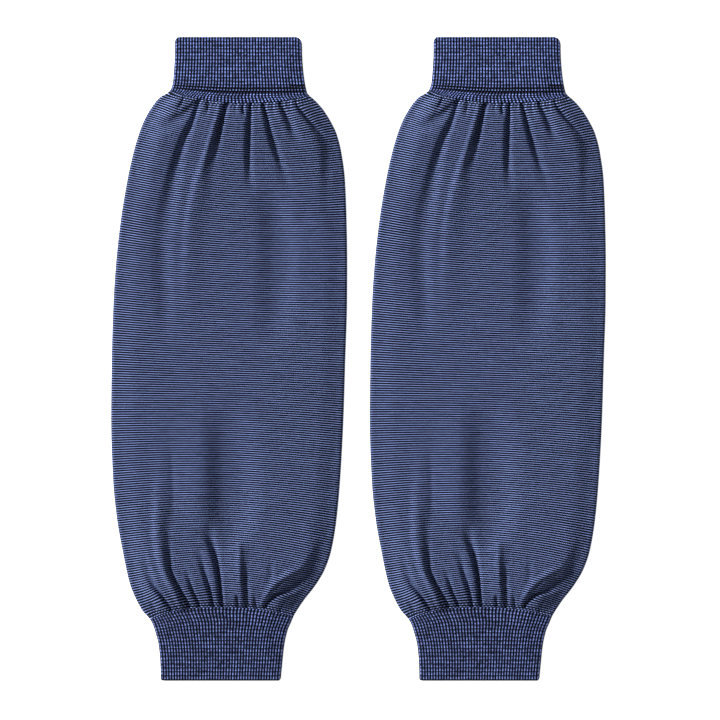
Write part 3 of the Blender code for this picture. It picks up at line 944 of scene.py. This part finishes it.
def body_material(yarn):
    """Plain knit in courses of blue ridges and near black grooves."""
    material, tree, shader, wale, course = knit_material("blue_and_black_plain_knit", yarn)
    ridge = grouped(tree, "knit_ridge", Count=course, Share=0.26, Edge=0.12)["Ridge"]
    loops = grouped(tree, "knit_loops", Wale=wale, Course=course)["Relief"]
    shade = grouped(tree, "uneven_yarn", Wale=wale, Course=course, Amount=0.32, Grain=0.2)["Shade"]
    half_step = calc(tree, "MULTIPLY", calc(tree, "FLOOR", course), 0.5)
    rib = calc(tree, "MULTIPLY_ADD", wale, RIBS / BODY_WALES, half_step)
    ribbed = grouped(tree, "knit_ridge", Count=rib, Share=0.46, Edge=0.3)["Ridge"]
    from_end = calc(tree, "MINIMUM", course, calc(tree, "SUBTRACT", BODY_COURSES, course))
    plain = smooth_step(tree, from_end, *RIBBED_COURSES)
    # Painted shade: the yarn is lighter on the legs of its loops and darker between them, on top of its
    # uneven tone
    tone_and_painted_shade = calc(tree, "MULTIPLY", shade, calc(tree, "MULTIPLY_ADD", loops, *LOOP_LIGHT))
    dotted = calc(tree, "MULTIPLY_ADD", ribbed, *SEAM_RIB_LIGHT)
    pattern = calc(tree, "MULTIPLY_ADD", plain, calc(tree, "SUBTRACT", 1.0, dotted), dotted)
    tone_and_painted_shade = calc(tree, "MULTIPLY", tone_and_painted_shade, pattern)
    color = mixed(tree, ridge, (*yarn.black, 1.0), shaded(tree, yarn.blue, tone_and_painted_shade))
    relief = calc(tree, "MULTIPLY_ADD", ridge, RIDGE_SHARE, loops)
    finish_knit(tree, shader, color, relief, BODY_BUMP)
    return material


def black_course_mask(tree, wale, course, wide):
    """1 on the black courses of the upper cuff."""
    mask = 0.0
    for line in BLACK_COURSES:
        near = calc(tree, "ABSOLUTE", calc(tree, "SUBTRACT", course, line.stitch))
        on = calc(tree, "LESS_THAN", near, wide / 2)
        after = calc(tree, "GREATER_THAN", wale, line.first_rib)
        before = calc(tree, "LESS_THAN", wale, line.last_rib)
        on = calc(tree, "MULTIPLY", on, calc(tree, "MULTIPLY", after, before))
        mask = calc(tree, "MAXIMUM", on, mask)
    return mask


def cuff_material(name, yarn, blue, lines):
    """Rib knit: blue stitches along each rib, near black between the ribs."""
    material, tree, shader, rib, stitch = knit_material(name, yarn)
    ridge = grouped(tree, "knit_ridge", Count=rib, Share=0.4, Edge=0.26)["Ridge"]
    bead = grouped(tree, "knit_ridge", Count=stitch, Share=0.6, Edge=0.5)["Ridge"]
    half_count = calc(tree, "MULTIPLY", stitch, 0.5)
    pair = grouped(tree, "knit_ridge", Count=half_count, Share=0.5, Edge=0.3)["Ridge"]
    shade = grouped(tree, "uneven_yarn", Wale=rib, Course=stitch, Amount=0.6, Grain=0.8)["Shade"]
    # Painted shade: each stitch of a rib is lighter at its middle and darker where it meets the next; every
    # second stitch is lighter as well
    tone_and_painted_shade = calc(tree, "MULTIPLY_ADD", bead, BEAD_LIGHT, calc(tree, "MULTIPLY_ADD", pair, *PAIR_LIGHT))
    if lines:
        row = calc(tree, "MULTIPLY_ADD", stitch, DOT_COUNT, 0.5 - FIRST_DOT * DOT_COUNT)
        dots = grouped(tree, "knit_ridge", Count=row, Share=0.5, Edge=0.3)["Ridge"]
        dotted = calc(tree, "MULTIPLY_ADD", dots, *DOT_LIGHT)
        in_tail = calc(tree, "GREATER_THAN", stitch, DOTTED_FROM)
        tone_and_painted_shade = calc(tree, "MULTIPLY_ADD", in_tail, calc(tree, "SUBTRACT", dotted, tone_and_painted_shade), tone_and_painted_shade)
    color = mixed(tree, ridge, (*yarn.black, 1.0), shaded(tree, blue, calc(tree, "MULTIPLY", shade, tone_and_painted_shade)))
    if lines:
        mask = black_course_mask(tree, rib, stitch, BLACK_COURSE_WIDTH)
        color = mixed(tree, mask, color, (*yarn.black, 1.0))
    finish_knit(tree, shader, color, calc(tree, "MULTIPLY", ridge, bead), CUFF_BUMP)
    return material


class KnitSizes(bpy.types.PropertyGroup):
    """Sizes of the knit."""

    wall: FloatProperty(
        name="Body wall",
        description="Thickness of the body's cloth",
        default=0.0012,
        subtype="DISTANCE",
        unit="LENGTH",
    )
    cuff_wall: FloatProperty(
        name="Cuff wall",
        description="Thickness of the cuffs' rib knit",
        default=0.0015,
        subtype="DISTANCE",
        unit="LENGTH",
    )
    course_height: FloatProperty(
        name="Course height",
        description="How far the ridge of each course stands up",
        default=0.00022,
        subtype="DISTANCE",
        unit="LENGTH",
    )
    rib_height: FloatProperty(
        name="Rib height",
        description="How far each rib of a cuff stands up",
        default=0.00055,
        subtype="DISTANCE",
        unit="LENGTH",
    )
    fold_depth: FloatProperty(
        name="Fold depth",
        description="Depth of the gathers, as a share of their table",
        default=1.0,
        subtype="FACTOR",
    )


class Yarns(bpy.types.PropertyGroup):
    """Colours and sheen of the yarns."""

    blue: FloatVectorProperty(
        name="Body blue",
        description="Blue yarn of the body",
        default=(0.232, 0.312, 0.655),
        subtype="COLOR",
        size=3,
    )
    upper_blue: FloatVectorProperty(
        name="Upper cuff blue",
        description="Blue yarn of the upper cuffs",
        default=(0.132, 0.181, 0.44),
        subtype="COLOR",
        size=3,
    )
    # The lower cuffs get a darker blue than the upper ones.
    lower_blue: FloatVectorProperty(
        name="Lower cuff blue",
        description="Blue yarn of the lower cuffs",
        default=(0.108, 0.145, 0.343),
        subtype="COLOR",
        size=3,
    )
    black: FloatVectorProperty(
        name="Black",
        description="Near black yarn",
        default=(0.002, 0.0025, 0.008),
        subtype="COLOR",
        size=3,
    )
    sheen: FloatProperty(
        name="Sheen",
        description="Strength of the cotton's sheen",
        default=0.04,
        subtype="FACTOR",
    )
    sheen_tint: FloatVectorProperty(
        name="Sheen tint",
        description="Colour of the sheen",
        default=(0.75, 0.82, 1.0),
        subtype="COLOR",
        size=3,
    )


class StageSettings(bpy.types.PropertyGroup):
    """Floor and light."""

    floor: FloatVectorProperty(
        name="Floor",
        description="Colour of the floor",
        default=(0.9, 0.9, 0.9),
        subtype="COLOR",
        size=3,
    )
    floor_glow: FloatProperty(name="Floor glow", description="Evens out the pale floor", default=0.85)
    fill: FloatProperty(name="Fill", description="Strength of the light from all round", default=0.28)
    key: FloatProperty(name="Key", description="Strength of the light from the upper left", default=6.1)
    key_spread: FloatProperty(
        name="Key softness",
        description="Width of the key light",
        default=math.radians(14),
        subtype="ANGLE",
        unit="ROTATION",
    )


def place_pair(node_end, data, material):
    """Both sleeves' pieces of one kind, each in its sleeve's place."""
    data.materials.append(material)
    for side, sign in zip(SIDES, (-1, 1)):
        copy = data if side == SIDES[-1] else data.copy()
        piece = bpy.data.objects.new(f"{side}_{node_end}_knit", copy)
        points = np.empty(len(copy.vertices) * 3, dtype=np.float32)
        copy.vertices.foreach_get("co", points)
        points[0::3] += sign * SLEEVE_SPACING / 2
        copy.vertices.foreach_set("co", points)
        copy.update()
        bpy.context.scene.collection.objects.link(piece)
        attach(piece, "root")
        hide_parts(f"{side}_{node_end}")


class SLEEVES_OT_bodies(bpy.types.Operator):
    """Knit both bodies, gathered at each end"""

    bl_idname = "sleeves.bodies"
    bl_label = "Bodies"

    def execute(self, context):
        settings = context.scene.knit_sizes
        ring = ring_round(BODY_COLUMNS, BODY_WALES, SIDE_RIBS)
        rows = BODY_COURSES * ROWS_PER_COURSE
        ridge = np.where(np.arange(rows + 1) % ROWS_PER_COURSE == 0, 0.0, settings.course_height / MM)
        relief = np.broadcast_to(ridge[:, None], (rows + 1, len(ring.across)))
        outer = body_face(np.arange(rows + 1) / rows, ring, relief, settings)
        inner = body_inner(outer, inner_rows(rows + 1, *BODY_INNER_STEPS, BODY_INNER_NEAR), ring, settings)
        data = wrap_cloth("body", outer, inner, ((SEAM_ROLL, 1), (SEAM_ROLL, -1)), ring, BODY_COURSES)
        place_pair("body", data, body_material(context.scene.sleeve_yarns))
        return {"FINISHED"}


def knit_cuffs(context, node_end, cuff, blue, lines):
    """Both cuffs of one kind."""
    settings = context.scene.knit_sizes
    counts = (RIBS, SIDE_RIBS, RIBS)
    ring = ring_round([ribs * columns for ribs, columns in zip(counts, COLUMNS_PER_RIB)], RIBS, SIDE_RIBS)
    rows = cuff.stitches * ROWS_PER_STITCH
    rib = (0.5 - 0.5 * np.cos(2 * math.pi * ring.wale[:-1])) ** RIB_ROUNDNESS
    stitch = 0.5 - 0.5 * np.cos(2 * math.pi * np.arange(rows + 1) / ROWS_PER_STITCH)
    relief = settings.rib_height / MM * rib * (1 - RIB_SWELL + RIB_SWELL * stitch[:, None])
    line = cuff_line(cuff, RIM_ROLL)
    outer = cuff_face(line, np.arange(rows + 1) / rows, ring, relief)
    inner_parts = np.append(np.arange(0, rows, CUFF_INNER_STEP), rows) / rows
    inner = cuff_inner(line, inner_parts, ring, settings)
    outwards = math.copysign(1, cuff.rim)
    rolls = ((RIM_ROLL, outwards), (SEAM_ROLL, -outwards))
    data = wrap_cloth(node_end, outer, inner, rolls, ring, cuff.stitches)
    material = cuff_material(f"blue_rib_knit_{node_end}", context.scene.sleeve_yarns, blue, lines)
    place_pair(node_end, data, material)


class SLEEVES_OT_upper_cuffs(bpy.types.Operator):
    """Knit both upper cuffs, with their black courses"""

    bl_idname = "sleeves.upper_cuffs"
    bl_label = "Upper cuffs"

    def execute(self, context):
        blue = context.scene.sleeve_yarns.upper_blue
        knit_cuffs(context, "upper_cuff", UPPER_CUFF, blue, True)
        return {"FINISHED"}


class SLEEVES_OT_lower_cuffs(bpy.types.Operator):
    """Knit both lower cuffs"""

    bl_idname = "sleeves.lower_cuffs"
    bl_label = "Lower cuffs"

    def execute(self, context):
        blue = context.scene.sleeve_yarns.lower_blue
        knit_cuffs(context, "lower_cuff", LOWER_CUFF, blue, False)
        return {"FINISHED"}


class SLEEVES_OT_stage(bpy.types.Operator):
    """Set up the floor, the light and the camera"""

    bl_idname = "sleeves.stage"
    bl_label = "Floor, light and camera"

    def execute(self, context):
        settings = context.scene.sleeve_stage
        add_floor(settings)
        add_light(context.scene, settings)
        add_camera(context.scene)
        return {"FINISHED"}


def add_floor(settings):
    mesh = bmesh.new()
    bmesh.ops.create_grid(mesh, x_segments=1, y_segments=1, size=FLOOR_HALF_WIDTH)
    data = bpy.data.meshes.new("floor")
    mesh.to_mesh(data)
    mesh.free()
    material = bpy.data.materials.new("pale_floor")
    material.use_nodes = True
    shader = material.node_tree.nodes["Principled BSDF"]
    shader.inputs["Base Color"].default_value = (*settings.floor, 1.0)
    shader.inputs["Roughness"].default_value = 0.9
    shader.inputs["Specular IOR Level"].default_value = 0.0
    shader.inputs["Emission Color"].default_value = (1.0, 1.0, 1.0, 1.0)
    shader.inputs["Emission Strength"].default_value = settings.floor_glow
    data.materials.append(material)
    floor = bpy.data.objects.new("floor", data)
    bpy.context.scene.collection.objects.link(floor)


def add_light(scene, settings):
    """A soft light from the upper left, and an even fill from all round."""
    world = bpy.data.worlds.new("studio")
    world.use_nodes = True
    world.node_tree.nodes["Background"].inputs["Color"].default_value = (1.0, 1.0, 1.0, 1.0)
    world.node_tree.nodes["Background"].inputs["Strength"].default_value = settings.fill
    scene.world = world
    lamp = bpy.data.lights.new("key", "SUN")
    lamp.energy = settings.key
    lamp.angle = settings.key_spread
    key = bpy.data.objects.new("key", lamp)
    key.rotation_euler = Vector(KEY_FROM).to_track_quat("Z", "Y").to_euler()
    scene.collection.objects.link(key)
    scene.view_settings.view_transform = "Standard"


def add_camera(scene):
    lens = bpy.data.cameras.new("camera")
    lens.sensor_width = SENSOR_WIDTH
    lens.lens = SENSOR_WIDTH * CAMERA_HEIGHT / VIEW_WIDTH
    lens.clip_end = CLIP_END
    camera = bpy.data.objects.new("camera", lens)
    camera.location = (*PHOTO_MIDDLE, CAMERA_HEIGHT)
    scene.collection.objects.link(camera)
    scene.camera = camera


class SLEEVES_PT_panel(bpy.types.Panel):
    """The sleeves' settings and steps"""

    bl_idname = "SLEEVES_PT_panel"
    bl_label = "Knitted sleeves"
    bl_space_type = "VIEW_3D"
    bl_region_type = "UI"
    bl_category = "Sleeves"

    def draw(self, context):
        for name in ("knit_sizes", "sleeve_yarns", "sleeve_stage"):
            settings = getattr(context.scene, name)
            box = self.layout.box()
            for prop in settings.__annotations__:
                box.prop(settings, prop)
        for step in STEPS:
            self.layout.operator(step.bl_idname)


STEPS = (SLEEVES_OT_bodies, SLEEVES_OT_upper_cuffs, SLEEVES_OT_lower_cuffs, SLEEVES_OT_stage)
CLASSES = (KnitSizes, Yarns, StageSettings, *STEPS, SLEEVES_PT_panel)


def register():
    for item in CLASSES:
        bpy.utils.register_class(item)
    bpy.types.Scene.knit_sizes = PointerProperty(type=KnitSizes)
    bpy.types.Scene.sleeve_yarns = PointerProperty(type=Yarns)
    bpy.types.Scene.sleeve_stage = PointerProperty(type=StageSettings)


def unregister():
    del bpy.types.Scene.sleeve_stage
    del bpy.types.Scene.sleeve_yarns
    del bpy.types.Scene.knit_sizes
    for item in reversed(CLASSES):
        bpy.utils.unregister_class(item)


def main():
    register()
    for build_group in (ridge_group, yarn_group, loop_group, nap_group):
        build_group()
    bpy.ops.sleeves.bodies()
    bpy.ops.sleeves.upper_cuffs()
    bpy.ops.sleeves.lower_cuffs()
    bpy.ops.sleeves.stage()


if __name__ == "__main__":
    main()
